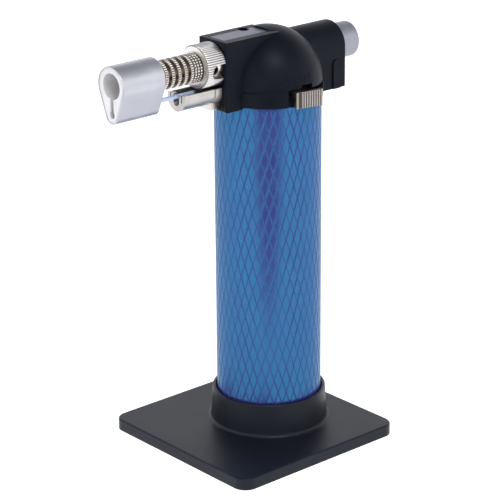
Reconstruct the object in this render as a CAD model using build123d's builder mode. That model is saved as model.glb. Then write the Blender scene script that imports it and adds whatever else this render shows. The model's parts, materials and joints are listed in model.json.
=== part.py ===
from build123d import *
from math import asin, cos, degrees, radians, sin
import os

# Butane bench torch in millimetres. Z is up, the nozzle points along -Y, and the
# origin is on the tank's axis at the underside of the stand.

# ---- fits ----------------------------------------------------------------------
slide_fit = 0.05            # radial play of shafts and plungers in their bores
seam_gap = 0.05             # between mouldings that meet edge to edge
socket_clearance = 0.3      # tank in the stand's socket, radially
seat_gap = 0.3              # tank's rim above the floor of the socket

# ---- stand ---------------------------------------------------------------------
plate_side = 73.7
plate_thickness = 4.3
plate_forward = 7.5         # the plate's middle stands this far ahead of the tank
plate_corner_radius = 5.0
plate_edge_radius = 0.6
socket_wall = 2.1           # at the foot
socket_draft = 3.5          # degrees, outside only
socket_height = 12.4        # above the plate
socket_foot_radius = 1.3
socket_lip_radius = 0.45

# ---- tank ----------------------------------------------------------------------
tank_radius = 19.0
tank_height = 122.6         # from the lower rim to the shoulder
tank_wall = 1.4
neck_step = 2.0             # tank's radius over the neck's
neck_wall = 1.4
neck_height = 1.4
base_recess = 3.0           # base disc above the lower rim
base_thickness = 2.8
spring_seat = 1.2           # a coil's first turn above its seat, in wire radii

# ---- head mouldings ------------------------------------------------------------
skirt_height = 5.4
skirt_overhang = 0.3        # skirt's radius over the tank's
skirt_proud = 0.25          # skirt's ledge round the dome
skirt_chamfer = 0.2
band_step = 1.1             # tank's radius over that of the band inside the skirt
band_height = 2.0
cover_wall = 1.6
burner_below_crown = 9.1    # burner's axis below the top of the dome
block_half_width = 7.1
block_wall = 1.4
block_top_above_burner = 8.2
block_reach = 6.2           # block's face ahead of the tank's wall
block_rear = 0.8
block_nose_drop = 0.8       # nose of the block below the tank's shoulder
block_edge_radius = 0.7
front_wall = 3.0
barrel_drop = 2.3           # barrel's axis below the burner's
barrel_radius = 8.4
barrel_reach = 10.9         # barrel's end behind the tank's wall
barrel_skirt_drop = 1.1     # underside of the barrel below the tank's shoulder
barrel_edge_radius = 0.8
rib_margin = 3.1            # rib from the barrel's end
rib_width = 3.4
rib_height = 10.6
rib_proud = 0.5
notch_height = 1.7          # cut in the dome over the lever's slot
notch_start = 7.0           # degrees from the lever's heading
notch_end = 22.0
low_notch_height = 0.7
label_width = 8.2
label_length = 20.0
label_margin = 2.4          # label from the block's face
label_shift = -0.4
label_depth = 0.5
label_thickness = 0.4
screw_x = -3.8
screw_y = -7.6
screw_hole_radius = 2.0
boss_radius = 3.2
boss_height = 5.4           # from the block's top down
screw_sink = 3.0            # screw's seat below the block's top

# ---- gas lever -----------------------------------------------------------------
lever_turn = 32.0           # degrees from shut to full gas
lever_heading = -10.8       # degrees from +X to the tab's normal, gas shut
lever_thickness = 1.2
lever_height = 3.4          # underside above the tank's shoulder
lever_hub_radius = 5.2
lever_arm_front = -1.3
lever_arm_rear = 5.0
tab_reach = 2.4             # crests of the ribs beyond the dome
tab_thickness = 1.1
tab_front = -1.3
tab_rear = 9.4
tab_low = -0.2              # tab's lower edge from the tank's shoulder
tab_height = 5.8
tab_lip = 2.0               # smooth strip ahead of the ribs
rib_count = 9
rib_fill = 0.92             # a rib's width as a share of the pitch
slot_front_play = 5.3       # degrees of slot ahead of the arm
slot_rear_play = 3.0        # degrees of slot behind the arm at full gas

# ---- valves --------------------------------------------------------------------
cap_thickness = 3.6
seal_section = 0.65
valve_body_radius = 4.0
valve_flange_radius = 5.4
valve_flange_thickness = 1.0
valve_washer_thickness = 0.4
valve_body_depth = 9.2      # below the tank's shoulder
adjuster_radius = 2.55
adjuster_collar_radius = 3.6
adjuster_collar_height = 1.2
adjuster_depth = 2.6        # below the tank's shoulder
nozzle_radius = 1.5
nozzle_bore = 0.5
wick_radius = 1.6
wick_bore = 0.9
wick_end_height = 24.0
wick_overlap = 1.5          # spigot inside the wick tube
nozzle_seat = 2.0
adjuster_end_play = 0.4
washer_margin = 0.2
fill_body_radius = 3.6
fill_flange_radius = 5.2
fill_flange_thickness = 1.5
fill_seal_thickness = 0.5
fill_chamber_radius = 2.6
fill_body_height = 9.6      # from the flange's underside
fill_body_proud = 0.6       # valve body below the base disc
fill_stop_depth = 0.56      # seat of the stem's flange below the base disc's top
fill_wall = 1.0
fill_outlet_radius = 1.0
fill_stem_radius = 1.5
fill_stem_flange_radius = 2.4
fill_stem_proud = 1.6       # stem's tip below the valve body
stem_flange_thickness = 1.2
stem_tail_radius = 1.1
stem_tail_length = 1.6
fill_spring_radius = 1.75
fill_spring_wire = 0.25
fill_spring_turns = 5
fill_travel = 1.5

# ---- gas line ------------------------------------------------------------------
elbow_radius = 2.6
elbow_top_margin = 2.6
elbow_low = 7.8             # elbow's underside below the burner's axis
elbow_socket = 2.0
elbow_boss_radius = 2.0
elbow_boss_reach = 3.6
pipe_radius = 1.2
pipe_bore = 0.6
pipe_socket = 2.0

# ---- burner --------------------------------------------------------------------
shank_radius = 5.0
shank_length = 11.2         # inside the block
burner_bore = 3.0
nut_thickness = 2.5
nut_radius = 5.6
nut_slot_width = 1.2
nut_slot_depth = 0.5
hub_radius = 5.5            # seat of the air collar
air_port_radius = 1.9
air_port_reach = 3.8        # ahead of the block's face
air_port_tilt = -9.5        # degrees above +X
collar_radius = 7.7
collar_end = 8.1            # collar's front ahead of the block's face
collar_face_gap = 0.3       # collar from the block's face, and from the first ring
collar_notch_length = 5.4
collar_notch_width = 5.4
collar_chamfer = 0.5
fin_radius = 4.85
fin_root_radius = 3.95
ring_count = 3
ring_pitch = 1.2
ring_thickness = 0.75
fin_count = 5
fin_pitch = 2.75
fin_thickness = 1.2
nose_radius = 3.9
nose_reach = 10.0           # inside the flame guard
tip_thickness = 3.0
tip_bore = 1.2
tip_port_radius = 0.35
tip_port_circle = 2.1
tip_port_count = 8
screen_depth = 6.0          # screen behind the nose's front
screen_thickness = 0.3
screen_hole_radius = 0.35
screen_hole_spacing = 0.62
screen_hole_rows = 5
jet_tip_reach = 3.4         # ahead of the block's face
jet_shoulder_depth = 3.2    # behind the block's face
jet_bore = 0.3
jet_nose_radius = 1.6
jet_tip_radius = 0.8
jet_cone = 1.5

# ---- flame guard ---------------------------------------------------------------
guard_length = 18.0
guard_radius = 6.9
guard_foot_radius = 3.3
guard_foot_drop = 9.7       # centre of the narrow end below the burner's axis
guard_wall = 0.6
guard_edge_radius = 0.35
ceramic_recess = 0.25
mouth_edge_radius = 0.3
mouth_radius = 4.42
mouth_depth = 8.7
wire_drop = 8.7             # wire below the burner's axis
electrode_slot_width = 1.8
electrode_slot_end = 1.3    # radius of its round end
electrode_radius = 0.45
electrode_reach = 13.0      # inside the flame guard
electrode_rise = 3.6
electrode_bend = 1.2

# ---- ignition wire and its trough ----------------------------------------------
wire_radius = 0.75
wire_reach = 6.0            # inside the flame guard
wire_bend = 1.6
trough_radius = 4.6
trough_axis_drop = 9.3      # below the burner's axis
trough_side = 1.5           # straight sides above the round
trough_wall = 0.6
trough_length = 16.1
trough_cap = 1.6
trough_notch_radius = 1.5
trough_notch_drop = 10.5    # centre below the burner's axis
trough_notch_height = 6.0
trough_slit = 0.5
trough_slit_x = 2.9
trough_slit_height = 2.3
band_width = 2.7
band_proud = 0.4
foot_half_width = 3.4
foot_length = 3.8
foot_drop = 1.5             # below the trough
rivet_radius = 1.1
rivet_head_height = 0.5
rivet_shank_radius = 0.6
rivet_head_gap = 0.2
foot_lap = 1.2              # foot's height up the trough

# ---- ignition ------------------------------------------------------------------
button_radius = 6.4
button_wall = 1.0
button_end = 1.2
button_proud = 8.6          # button's end behind the barrel's
button_length = 16.5
button_travel = 5.0
button_edge_radius = 0.6
button_fit = 0.2
piezo_half_width = 3.6
piezo_half_height = 3.3
piezo_depth = 21.9          # case's front ahead of the barrel's end
piezo_length = 16.0
plunger_radius = 2.85
plunger_depth = 12.0        # plunger's front behind the case's
crystal_radius = 1.9
crystal_depth = 1.2
crystal_length = 3.6
hammer_length = 1.5
hammer_gap = 0.3
partition_depth = 6.0       # partition behind the case's front
partition_thickness = 1.5
partition_height = 1.5      # its lower edge above the cover's seam
button_spring_wire = 0.3
button_spring_radius = 3.25
button_spring_turns = 7

# ---- bracket -------------------------------------------------------------------
bracket_x = 4.6
bracket_sheet = 1.0
bracket_rear = 6.0
bracket_width = 3.2
bracket_foot = 5.0
tab_sheet = 1.0
tab_end = 2.1               # tab's end from the middle plane
screw_shank_radius = 0.7
screw_head_radius = 1.8
screw_head_height = 1.4
screw_tip = 1.0             # screw's tip below the tab
screw_slot_length = 2.2
screw_slot_width = 0.5
screw_slot_depth = 0.6
foot_screw_radius = 1.3
foot_screw_height = 0.9
foot_screw_inset = 2.0

# ---- sizes that follow ---------------------------------------------------------
neck_radius = tank_radius - neck_step
band_outer_radius = tank_radius - band_step
tank_low = plate_thickness + seat_gap
shoulder_z = tank_low + tank_height
neck_top = shoulder_z + neck_height
seam_z = shoulder_z + skirt_height
dome_radius = tank_radius + skirt_overhang
burner_z = seam_z + dome_radius - burner_below_crown
barrel_z = burner_z - barrel_drop
block_top = burner_z + block_top_above_burner
lever_z = shoulder_z + lever_height
wire_z = burner_z - wire_drop
base_z = tank_low + base_recess
inner_tank_radius = tank_radius - tank_wall
inner_neck_radius = neck_radius - neck_wall
boss_low = block_top - boss_height
bracket_tab_top = boss_low - seam_gap
block_front = tank_radius + block_reach
barrel_rear = tank_radius + barrel_reach
label_front = block_front - label_margin
rib_front = barrel_rear - rib_margin - rib_width
shank_rear = block_front - shank_length
air_port_front = block_front + air_port_reach
collar_front = block_front + collar_end
first_ring = collar_front + collar_face_gap
first_fin = first_ring + ring_count * ring_pitch
fins_front = first_fin + fin_count * fin_pitch
guard_rear = fins_front + seam_gap
guard_front = guard_rear + guard_length
nose_front = guard_rear + nose_reach
wire_front = guard_rear + wire_reach
electrode_front = guard_rear + electrode_reach
screen_front = nose_front - screen_depth
jet_tip_front = block_front + jet_tip_reach
jet_shoulder_front = block_front - jet_shoulder_depth
trough_front = block_front + trough_length
button_rear = barrel_rear + button_proud
piezo_front = barrel_rear - piezo_depth
plunger_front = piezo_front + plunger_depth
crystal_front = piezo_front + crystal_depth
partition_front = piezo_front + partition_depth
standing = (Align.CENTER, Align.CENTER, Align.MIN)


def burner_plane(ahead):
    """Plane across the burner's axis, facing forward, this far ahead of the tank."""
    return Plane(origin=(0, -ahead, burner_z), x_dir=(1, 0, 0), z_dir=(0, -1, 0))


def barrel_plane(behind):
    """Plane across the barrel's axis, facing back, this far behind the tank."""
    return Plane(origin=(0, behind, barrel_z), x_dir=(-1, 0, 0), z_dir=(0, 1, 0))


def level(z):
    """Horizontal plane at this height on the tank's axis."""
    return Plane.XY.offset(z)


def disc(plane, outer, inner=0):
    """A round face, with a round hole where inner is given."""
    with BuildSketch(plane) as face:
        Circle(outer)
        if inner > 0:
            Circle(inner, mode=Mode.SUBTRACT)
    return face.sketch


def teardrop(plane, inset=0):
    """The flame guard's outline: the hull of a large circle and a small one below."""
    with BuildSketch(plane) as face:
        Circle(guard_radius - inset)
        with Locations((0, -guard_foot_drop)):
            Circle(guard_foot_radius - inset)
        make_hull()
    return face.sketch


def trough_outline(plane, grow=0):
    """The trough's U: a half round with straight sides, closed across the top."""
    radius = trough_radius + grow
    with BuildSketch(plane) as face:
        with BuildLine():
            CenterArc((0, -trough_axis_drop), radius, 180, 180)
            Line((radius, -trough_axis_drop), (radius, -trough_axis_drop + trough_side))
            Line((radius, -trough_axis_drop + trough_side),
                 (-radius, -trough_axis_drop + trough_side))
            Line((-radius, -trough_axis_drop + trough_side), (-radius, -trough_axis_drop))
        make_face()
    return face.sketch


def arch(plane, radius, low):
    """The barrel's outline: half a circle over straight walls down to height low."""
    with BuildSketch(plane) as face:
        Circle(radius)
        with Locations((0, (low - barrel_z) / 2)):
            Rectangle(2 * radius, barrel_z - low)
    return face.sketch


def wedge(plane, radius, start, end):
    """A pie slice from angle start to end, in degrees from the plane's x axis."""
    middle = radians((start + end) / 2)
    far = 3 * radius
    with BuildSketch(plane) as face:
        with BuildLine():
            Polyline((0, 0), (far * cos(radians(start)), far * sin(radians(start))),
                     (far * cos(middle), far * sin(middle)),
                     (far * cos(radians(end)), far * sin(radians(end))), close=True)
        make_face()
    return face.sketch


def coil(base, height, radius, wire, turns):
    """A compression spring that stands on plane base and fills the height given."""
    rise = height - 2 * spring_seat * wire
    with BuildPart() as spring:
        with BuildLine():
            helix = Helix(pitch=rise / turns, height=rise, radius=radius,
                          center=(0, 0, spring_seat * wire))
        with BuildSketch(Plane(origin=helix @ 0, z_dir=helix % 0)):
            Circle(wire)
        sweep(path=helix, is_frenet=True)
    return spring.part.moved(base.location)


# ---- stand ---------------------------------------------------------------------
socket_radius = tank_radius + socket_clearance
socket_outer = socket_radius + socket_wall
socket_top = plate_thickness + socket_height

with BuildPart() as stand_base:
    with BuildSketch(Plane.XY):
        with Locations((0, -plate_forward)):
            RectangleRounded(plate_side, plate_side, plate_corner_radius)
    extrude(amount=plate_thickness)
    fillet(stand_base.faces().sort_by(Axis.Z)[-1].edges(), plate_edge_radius)
    extrude(disc(level(plate_thickness), socket_outer), amount=socket_height,
            taper=socket_draft)
    foot = (stand_base.edges().filter_by(GeomType.CIRCLE)
            .filter_by(lambda e: abs(e.radius - socket_outer) < 0.01)
            .sort_by(Axis.Z)[0])
    fillet(foot, socket_foot_radius)
    extrude(disc(level(plate_thickness), socket_radius), amount=socket_height,
            mode=Mode.SUBTRACT)
    fillet(stand_base.faces().sort_by(Axis.Z)[-1].edges(), socket_lip_radius)
stand_base.part.label = "stand_base"

# ---- tank ----------------------------------------------------------------------
with BuildPart() as tank_shell:
    extrude(disc(level(tank_low), tank_radius, inner_tank_radius), amount=tank_height)
    extrude(disc(level(shoulder_z - tank_wall), tank_radius - tank_wall / 2,
                 inner_neck_radius), amount=tank_wall)
    extrude(disc(level(shoulder_z), neck_radius, inner_neck_radius), amount=neck_height)
    chamfer(tank_shell.faces().sort_by(Axis.Z)[0].outer_wire().edges(), tank_wall / 2)
tank_shell.part.label = "tank_shell"

with BuildPart() as tank_base:
    extrude(disc(level(base_z), inner_tank_radius, fill_body_radius), amount=base_thickness)
tank_base.part.label = "tank_base"

cap_low = neck_top - cap_thickness
groove_z = cap_low + cap_thickness / 2
with BuildPart() as tank_cap:
    extrude(disc(level(cap_low), inner_neck_radius, valve_body_radius), amount=cap_thickness)
    extrude(disc(level(groove_z - seal_section), inner_neck_radius + seal_section,
                 inner_neck_radius - 2 * seal_section), amount=2 * seal_section,
            mode=Mode.SUBTRACT)
tank_cap.part.label = "tank_cap"

with BuildPart() as tank_seal:
    with Locations((0, 0, groove_z)):
        Torus(inner_neck_radius - seal_section - seam_gap, seal_section - seam_gap)
tank_seal.part.label = "tank_seal"

# ---- filling valve -------------------------------------------------------------
fill_seal_z = base_z + base_thickness
fill_flange_z = fill_seal_z + fill_seal_thickness
fill_top = fill_flange_z + fill_body_height
fill_low = base_z - fill_body_proud
fill_stop_z = fill_seal_z - fill_stop_depth

with BuildPart() as fill_valve_body:
    extrude(disc(level(fill_low), fill_body_radius), amount=fill_flange_z - fill_low)
    extrude(disc(level(fill_flange_z), fill_flange_radius), amount=fill_flange_thickness)
    extrude(disc(level(fill_flange_z), fill_chamber_radius + fill_wall),
            amount=fill_body_height)
    extrude(disc(level(fill_low), fill_stem_radius + slide_fit),
            amount=fill_stop_z - fill_low, mode=Mode.SUBTRACT)
    extrude(disc(level(fill_stop_z), fill_chamber_radius),
            amount=fill_top - fill_wall - fill_stop_z, mode=Mode.SUBTRACT)
    extrude(disc(level(fill_top - fill_wall), fill_outlet_radius), amount=fill_wall,
            mode=Mode.SUBTRACT)
fill_valve_body.part.label = "fill_valve_body"

with BuildPart() as fill_valve_seal:
    extrude(disc(level(fill_seal_z), fill_flange_radius - washer_margin, fill_body_radius),
            amount=fill_seal_thickness)
fill_valve_seal.part.label = "fill_valve_seal"

stem_tip = fill_low - fill_stem_proud
stem_flange_z = fill_stop_z + slide_fit
stem_flange_top = stem_flange_z + stem_flange_thickness
with BuildPart() as fill_valve_stem:
    extrude(disc(level(stem_tip), fill_stem_radius), amount=stem_flange_z - stem_tip)
    chamfer(fill_valve_stem.faces().sort_by(Axis.Z)[0].edges(), fill_stem_radius / 4)
    extrude(disc(level(stem_flange_z), fill_stem_flange_radius),
            amount=stem_flange_top - stem_flange_z)
    extrude(disc(level(stem_flange_top), stem_tail_radius), amount=stem_tail_length)
fill_valve_stem.part.label = "fill_valve_stem"

fill_valve_spring = coil(level(stem_flange_top), fill_top - fill_wall - stem_flange_top,
                         fill_spring_radius, fill_spring_wire, fill_spring_turns)
fill_valve_spring.label = "fill_valve_spring"

# ---- outlet valve --------------------------------------------------------------
valve_low = shoulder_z - valve_body_depth
washer_z = neck_top
flange_z = washer_z + valve_washer_thickness
flange_top = flange_z + valve_flange_thickness
adjuster_low = shoulder_z - adjuster_depth
lever_top = lever_z + lever_thickness
nozzle_top = burner_z - elbow_low + elbow_socket

with BuildPart() as outlet_valve_body:
    extrude(disc(level(valve_low), valve_body_radius), amount=flange_z - valve_low)
    with BuildSketch(level(flange_z)):
        RegularPolygon(valve_flange_radius, 6)
    extrude(amount=valve_flange_thickness)
    extrude(disc(level(valve_low - wick_overlap), wick_bore), amount=wick_overlap)
    extrude(disc(level(adjuster_low - adjuster_end_play), adjuster_radius + slide_fit),
            amount=flange_top - adjuster_low + adjuster_end_play, mode=Mode.SUBTRACT)
    extrude(disc(level(valve_low + nozzle_seat), nozzle_radius),
            amount=flange_top - valve_low - nozzle_seat, mode=Mode.SUBTRACT)
    extrude(disc(level(valve_low - wick_overlap), nozzle_bore),
            amount=wick_overlap + nozzle_seat, mode=Mode.SUBTRACT)
outlet_valve_body.part.label = "outlet_valve_body"

with BuildPart() as valve_washer:
    extrude(disc(level(washer_z), valve_flange_radius - washer_margin, valve_body_radius),
            amount=valve_washer_thickness)
valve_washer.part.label = "valve_washer"

with BuildPart() as valve_nozzle:
    extrude(disc(level(valve_low + nozzle_seat), nozzle_radius, nozzle_bore),
            amount=nozzle_top - valve_low - nozzle_seat)
valve_nozzle.part.label = "valve_nozzle"

with BuildPart() as valve_adjuster:
    extrude(disc(level(adjuster_low), adjuster_radius), amount=lever_top - adjuster_low)
    extrude(disc(level(lever_top), adjuster_collar_radius), amount=adjuster_collar_height)
    extrude(disc(level(adjuster_low), nozzle_radius + slide_fit),
            amount=lever_top + adjuster_collar_height - adjuster_low, mode=Mode.SUBTRACT)
valve_adjuster.part.label = "valve_adjuster"

with BuildPart() as wick_tube:
    extrude(disc(level(wick_end_height), wick_radius, wick_bore),
            amount=valve_low - wick_end_height)
wick_tube.part.label = "wick_tube"

# ---- gas lever -----------------------------------------------------------------
heading = radians(lever_heading)
lever_plane = Plane(origin=(0, 0, lever_z), x_dir=(cos(heading), sin(heading), 0),
                    z_dir=(0, 0, 1))
tab_plane = lever_plane.offset(shoulder_z + tab_low - lever_z)
rib_pitch = (tab_rear - tab_front - tab_lip) / rib_count
rib_radius = rib_fill * rib_pitch / 2
tab_outer = dome_radius + tab_reach - rib_radius
tab_inner = tab_outer - tab_thickness

with BuildPart() as gas_lever:
    with BuildSketch(lever_plane):
        Circle(lever_hub_radius)
        with Locations((tab_inner / 2, (lever_arm_front + lever_arm_rear) / 2)):
            Rectangle(tab_inner, lever_arm_rear - lever_arm_front)
        Circle(adjuster_radius, mode=Mode.SUBTRACT)
    extrude(amount=lever_thickness)
    with BuildSketch(tab_plane):
        with Locations(((tab_inner + tab_outer) / 2, (tab_front + tab_rear) / 2)):
            Rectangle(tab_thickness, tab_rear - tab_front)
        ribs = [tab_front + tab_lip + (rib + 0.5) * rib_pitch for rib in range(rib_count)]
        for middle in [tab_front + rib_radius] + ribs:
            with Locations((tab_outer, middle)):
                Circle(rib_radius)
    extrude(amount=tab_height)
gas_lever.part.label = "gas_lever"

# ---- head mouldings ------------------------------------------------------------
block_low = shoulder_z - block_nose_drop
barrel_low = shoulder_z - barrel_skirt_drop
tank_cut_radius = tank_radius + 2 * seam_gap

with BuildPart() as cover_envelope:
    with Locations((0, 0, seam_z)):
        Sphere(dome_radius, arc_size1=0, align=standing)
    with BuildSketch(level(block_low)):
        with Locations((0, -(block_front + block_rear) / 2)):
            Rectangle(2 * block_half_width, block_front - block_rear)
    extrude(amount=block_top - block_low)
    front_edges = cover_envelope.faces().sort_by(Axis.Y)[0].edges()
    fillet(front_edges, block_edge_radius)
    extrude(arch(barrel_plane(0), barrel_radius, barrel_low), amount=barrel_rear)
    fillet(cover_envelope.faces().sort_by(Axis.Y)[-1].edges(), barrel_edge_radius)
    with BuildSketch(Plane.YZ.offset(barrel_radius + rib_proud)):
        with BuildLine():
            top = barrel_low + rib_height - rib_width / 2
            Line((rib_front, top), (rib_front, barrel_low))
            Line((rib_front, barrel_low), (rib_front + rib_width, barrel_low))
            Line((rib_front + rib_width, barrel_low), (rib_front + rib_width, top))
            ThreePointArc((rib_front + rib_width, top),
                          (rib_front + rib_width / 2, barrel_low + rib_height),
                          (rib_front, top))
        make_face()
    extrude(amount=-2 * (barrel_radius + rib_proud))
    extrude(disc(level(block_low - 2), tank_cut_radius), amount=shoulder_z - block_low + 2,
            mode=Mode.SUBTRACT)
    extrude(disc(level(shoulder_z), band_outer_radius + seam_gap),
            amount=skirt_height, mode=Mode.SUBTRACT)

cavity_radius = dome_radius - cover_wall
piezo_plane = barrel_plane(partition_front)
with BuildPart() as cover_cavity:
    with Locations((0, 0, seam_z)):
        Sphere(cavity_radius, arc_size1=0, align=standing)
    with BuildSketch(level(shoulder_z + cover_wall)):
        with Locations((0, -(block_front - front_wall) / 2)):
            Rectangle(2 * (block_half_width - block_wall), block_front - front_wall)
    extrude(amount=boss_low - shoulder_z - cover_wall)
    with BuildSketch(level(boss_low)):
        with Locations((0, -(block_front - front_wall) / 2)):
            Rectangle(2 * (block_half_width - block_wall), block_front - front_wall)
        with Locations((screw_x, screw_y)):
            Circle(boss_radius, mode=Mode.SUBTRACT)
    extrude(amount=block_top - cover_wall - boss_low)
    extrude(arch(barrel_plane(0), button_radius + button_fit, barrel_low + cover_wall),
            amount=barrel_rear - cover_wall)
    with BuildSketch(piezo_plane):
        with Locations((0, (block_top + seam_z + partition_height) / 2 - barrel_z)):
            Rectangle(4 * barrel_radius, block_top - seam_z - partition_height)
        Rectangle(2 * piezo_half_width, 2 * piezo_half_height, mode=Mode.SUBTRACT)
    extrude(amount=partition_thickness, mode=Mode.SUBTRACT)

slot_start = lever_heading + degrees(asin(lever_arm_front / dome_radius)) - slot_front_play
slot_end = (lever_heading + degrees(asin(lever_arm_rear / dome_radius)) + lever_turn
            + slot_rear_play)

with BuildPart() as housing_cover:
    add(cover_envelope.part)
    add(cover_cavity.part, mode=Mode.SUBTRACT)
    extrude(disc(barrel_plane(barrel_rear - cover_wall), button_radius + button_fit),
            amount=cover_wall, mode=Mode.SUBTRACT)
    extrude(disc(burner_plane(block_front - front_wall), shank_radius), amount=front_wall,
            mode=Mode.SUBTRACT)
    with BuildSketch(burner_plane(block_front - front_wall)):
        with Locations((0, -wire_drop)):
            Circle(wire_radius + slide_fit)
    extrude(amount=front_wall, mode=Mode.SUBTRACT)
    with BuildSketch(level(block_top - label_depth)):
        with Locations((label_shift, -label_front + label_length / 2)):
            Rectangle(label_width, label_length)
    extrude(amount=cover_wall + label_depth, mode=Mode.SUBTRACT)
    with BuildSketch(level(block_top - screw_sink)):
        with Locations((screw_x, screw_y)):
            Circle(screw_hole_radius)
    extrude(amount=screw_sink + cover_wall, mode=Mode.SUBTRACT)
    with BuildSketch(level(boss_low)):
        with Locations((screw_x, screw_y)):
            Circle(screw_shank_radius)
    extrude(amount=block_top - boss_low, mode=Mode.SUBTRACT)
    extrude(wedge(level(seam_z), dome_radius, slot_start, lever_heading + notch_end),
            amount=low_notch_height, mode=Mode.SUBTRACT)
    extrude(wedge(level(seam_z), dome_radius, lever_heading + notch_start,
                  lever_heading + notch_end), amount=notch_height, mode=Mode.SUBTRACT)
housing_cover.part.label = "housing_cover"

skirt_radius = dome_radius + skirt_proud
with BuildPart() as skirt_ring:
    extrude(disc(level(shoulder_z), skirt_radius, neck_radius + seam_gap), amount=band_height)
    extrude(disc(level(shoulder_z + band_height), skirt_radius, band_outer_radius),
            amount=skirt_height - band_height - seam_gap)
    chamfer(skirt_ring.faces().sort_by(Axis.Z)[-1].outer_wire().edges(), skirt_chamfer)
    with BuildSketch(level(shoulder_z)):
        with Locations((0, -dome_radius)):
            Rectangle(2 * (block_half_width + seam_gap), 2 * dome_radius)
        with Locations((0, dome_radius)):
            Rectangle(2 * (barrel_radius + seam_gap), 2 * dome_radius)
        Circle(band_outer_radius, mode=Mode.SUBTRACT)
    extrude(amount=skirt_height, mode=Mode.SUBTRACT)
    with BuildSketch(level(shoulder_z)):
        add(wedge(level(shoulder_z), dome_radius, slot_start, slot_end))
        Circle(band_outer_radius, mode=Mode.SUBTRACT)
    extrude(amount=skirt_height, mode=Mode.SUBTRACT)
skirt_ring.part.label = "skirt_ring"

with BuildPart() as label_plate:
    with BuildSketch(level(block_top - label_depth)):
        with Locations((label_shift, -label_front + label_length / 2)):
            Rectangle(label_width - 2 * slide_fit, label_length - 2 * slide_fit)
        with Locations((screw_x, screw_y)):
            Circle(screw_hole_radius, mode=Mode.SUBTRACT)
    extrude(amount=label_thickness)
label_plate.part.label = "label_plate"

# ---- bracket and screws --------------------------------------------------------
bracket_outer = bracket_x + bracket_sheet
with BuildPart() as head_bracket:
    with BuildSketch(level(neck_top)):
        with Locations((-bracket_x - bracket_foot / 2, -bracket_rear - bracket_width / 2)):
            Rectangle(bracket_foot, bracket_width)
    extrude(amount=bracket_sheet)
    with BuildSketch(level(neck_top)):
        with Locations((-bracket_x - bracket_sheet / 2, -bracket_rear - bracket_width / 2)):
            Rectangle(bracket_sheet, bracket_width)
    extrude(amount=bracket_tab_top - neck_top)
    with BuildSketch(level(bracket_tab_top - tab_sheet)):
        with Locations((-(bracket_outer + tab_end) / 2, -bracket_rear - bracket_width / 2)):
            Rectangle(bracket_outer - tab_end, bracket_width)
        with Locations((screw_x, screw_y)):
            Circle(screw_shank_radius, mode=Mode.SUBTRACT)
    extrude(amount=tab_sheet)
head_bracket.part.label = "head_bracket"

foot_screw_x = -bracket_outer - foot_screw_inset
with BuildPart() as bracket_screw:
    with BuildSketch(level(neck_top + bracket_sheet)):
        with Locations((foot_screw_x, -bracket_rear - bracket_width / 2)):
            Circle(foot_screw_radius)
    extrude(amount=foot_screw_height)
bracket_screw.part.label = "bracket_screw"

with BuildPart() as cover_screw:
    with BuildSketch(level(bracket_tab_top - tab_sheet - screw_tip)):
        with Locations((screw_x, screw_y)):
            Circle(screw_shank_radius)
    extrude(amount=block_top - screw_sink - bracket_tab_top + tab_sheet + screw_tip)
    with BuildSketch(level(block_top - screw_sink)):
        with Locations((screw_x, screw_y)):
            Circle(screw_head_radius)
    extrude(amount=screw_head_height)
    with BuildSketch(level(block_top - screw_sink + screw_head_height - screw_slot_depth)):
        with Locations((screw_x, screw_y)):
            Rectangle(screw_slot_length, screw_slot_width)
            Rectangle(screw_slot_width, screw_slot_length)
    extrude(amount=screw_slot_depth, mode=Mode.SUBTRACT)
cover_screw.part.label = "cover_screw"

# ---- gas line ------------------------------------------------------------------
elbow_low_z = burner_z - elbow_low
with BuildPart() as gas_elbow:
    extrude(disc(level(elbow_low_z), elbow_radius), amount=elbow_low + elbow_top_margin)
    extrude(disc(burner_plane(0), elbow_boss_radius), amount=elbow_boss_reach)
    extrude(disc(level(elbow_low_z), nozzle_radius), amount=elbow_socket,
            mode=Mode.SUBTRACT)
    extrude(disc(level(elbow_low_z), pipe_bore), amount=elbow_low, mode=Mode.SUBTRACT)
    extrude(disc(burner_plane(0), pipe_bore), amount=elbow_boss_reach, mode=Mode.SUBTRACT)
    extrude(disc(burner_plane(elbow_boss_reach - pipe_socket), pipe_radius),
            amount=pipe_socket, mode=Mode.SUBTRACT)
gas_elbow.part.label = "gas_elbow"

with BuildPart() as gas_pipe:
    extrude(disc(burner_plane(elbow_boss_reach - pipe_socket), pipe_radius, pipe_bore),
            amount=shank_rear + 2 * pipe_socket - elbow_boss_reach)
gas_pipe.part.label = "gas_pipe"

with BuildPart() as jet_nozzle:
    extrude(disc(burner_plane(shank_rear), burner_bore),
            amount=jet_shoulder_front - shank_rear)
    extrude(disc(burner_plane(jet_shoulder_front), jet_nose_radius),
            amount=jet_tip_front - jet_cone - jet_shoulder_front)
    with BuildSketch(burner_plane(jet_tip_front - jet_cone)):
        Circle(jet_nose_radius)
    with BuildSketch(burner_plane(jet_tip_front)):
        Circle(jet_tip_radius)
    loft()
    extrude(disc(burner_plane(shank_rear), pipe_radius), amount=pipe_socket,
            mode=Mode.SUBTRACT)
    extrude(disc(burner_plane(shank_rear), jet_bore), amount=jet_tip_front - shank_rear,
            mode=Mode.SUBTRACT)
jet_nozzle.part.label = "jet_nozzle"

# ---- burner --------------------------------------------------------------------
port_plane = Plane(origin=(0, -air_port_front, burner_z),
                   x_dir=(0, -1, 0),
                   z_dir=(cos(radians(air_port_tilt)), 0, sin(radians(air_port_tilt))))

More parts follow.
